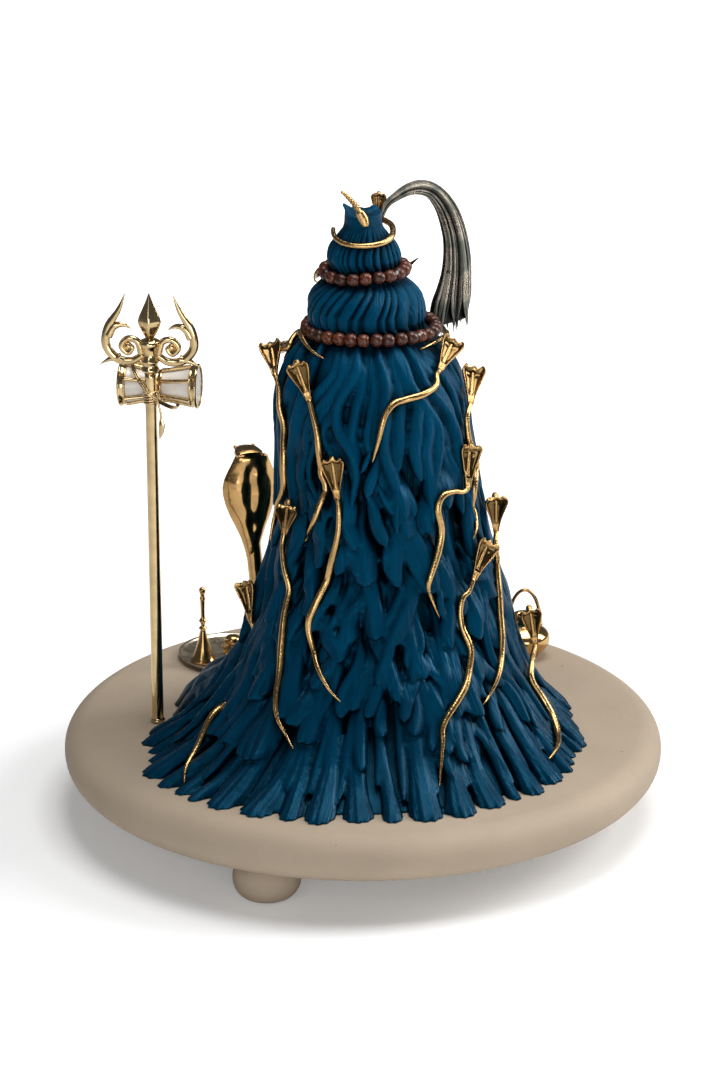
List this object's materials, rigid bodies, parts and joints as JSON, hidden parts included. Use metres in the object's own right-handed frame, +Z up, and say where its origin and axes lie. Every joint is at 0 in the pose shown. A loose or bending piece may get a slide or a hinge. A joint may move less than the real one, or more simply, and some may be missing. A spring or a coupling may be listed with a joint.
{
  "type": "seated deity figurine",
  "caption": "Table figure of Shiva seated cross-legged on a round footed plinth, with a cape of hair, snakes, a trident with a drum, a water pot and an offering tray.",
  "frame": {"origin": "on the floor under the centre of the round plinth", "axes": "+Z up, the figure faces -Y, its left side is towards +X"},
  "size_m": [0.3, 0.3, 0.318],
  "materials": {
    "stoneware": "matte, faintly speckled",
    "blue_cast": "satin deep teal blue",
    "bead_wood": "polished red-brown",
    "aged_silver": "aged silver with a green-grey patina",
    "gilt": "polished gilt with bronze shade",
    "trident_gilt": "polished pale gilt",
    "cream_enamel": "gloss cream",
    "pale_gilt": "satin pale gilt"
  },
  "bodies": {
    "root": {"plinth": "stoneware", "foot_front": "stoneware", "foot_back_left": "stoneware", "foot_back_right": "stoneware", "shiva_figure": "blue_cast", "bead_string_lower": "bead_wood", "bead_string_upper": "bead_wood", "ganga_stream": "aged_silver", "topknot_snake": "gilt", "topknot_tail": "gilt", "crescent_moon": "gilt", "hair_snake_01": "gilt", "hair_snake_02": "gilt", "hair_snake_03": "gilt", "hair_snake_04": "gilt", "hair_snake_05": "gilt", "hair_snake_06": "gilt", "hair_snake_07": "gilt", "hair_snake_08": "gilt", "hair_snake_09": "gilt", "hair_snake_10": "gilt", "hair_snake_11": "gilt", "temple_snake_left": "gilt", "temple_snake_right": "gilt", "lap_cobra": "gilt", "trident_shaft": "trident_gilt", "trident_head": "trident_gilt", "damaru_body": "cream_enamel", "damaru_frame": "trident_gilt", "damaru_tie": "trident_gilt", "offering_tray": "pale_gilt", "bell": "gilt", "oil_lamp": "gilt", "water_pot": "gilt", "water_pot_handle": "gilt"}
  },
  "joints": []
}
